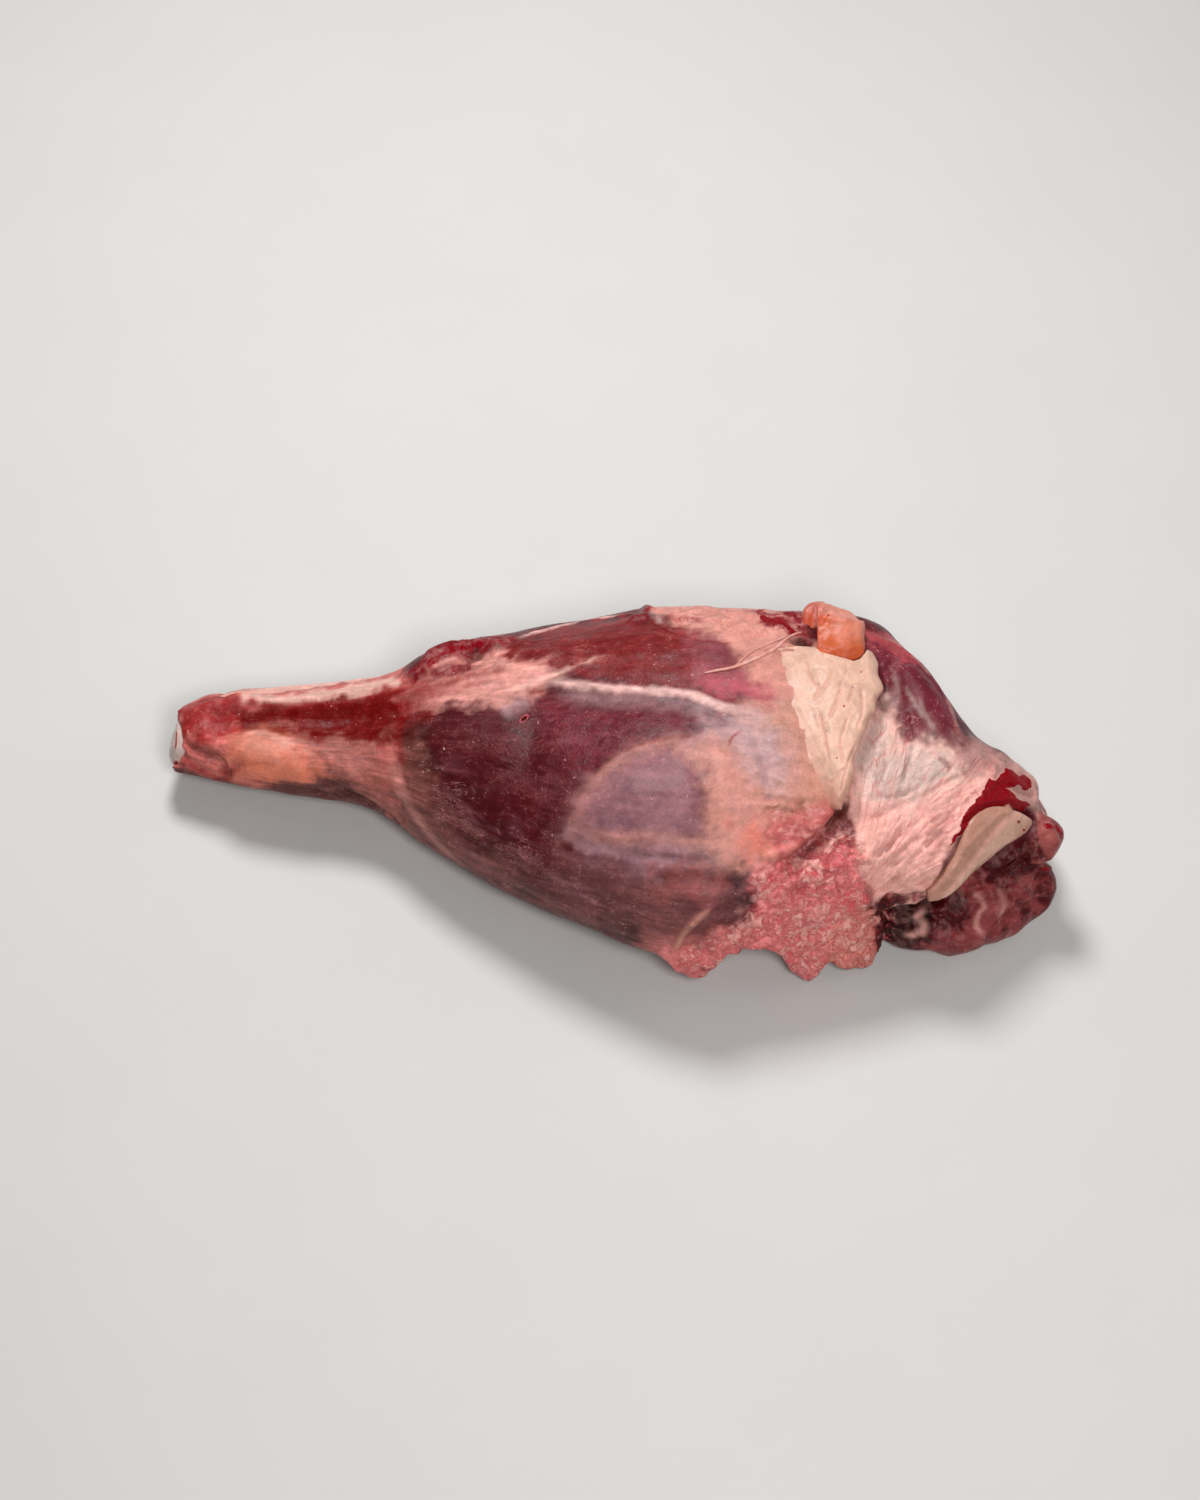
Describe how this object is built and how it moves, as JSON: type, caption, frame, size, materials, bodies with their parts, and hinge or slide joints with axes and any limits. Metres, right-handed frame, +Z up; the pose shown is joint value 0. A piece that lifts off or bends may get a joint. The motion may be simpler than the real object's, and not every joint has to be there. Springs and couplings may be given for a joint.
{
  "type": "raw horse leg",
  "caption": "Whole raw horse leg lying on its side: shank with a bare joint, muscled upper limb, cap and block of fat, gristle plate and torn flesh at the shoulder.",
  "frame": {"origin": "on the floor that the leg lies on, under the middle of its box", "axes": "+X from the cut joint of the shank to the shoulder, +Y to the far side of the limb as it lies in the picture, +Z up"},
  "size_m": [0.9156, 0.399, 0.2134],
  "materials": {
    "flesh": "moist raw muscle under thin silvery membranes, with blood and torn pink tissue",
    "bone": "moist bare bone and joint gristle, satin",
    "gristle": "smooth moist gristle, satin",
    "fat": "firm creamy to peach fat, wrinkled, slightly greasy"
  },
  "bodies": {
    "root": {"flesh": "flesh", "shank_bone": "bone", "blade_gristle": "gristle", "fat_cap": "fat", "fat_block": "fat"}
  },
  "joints": []
}
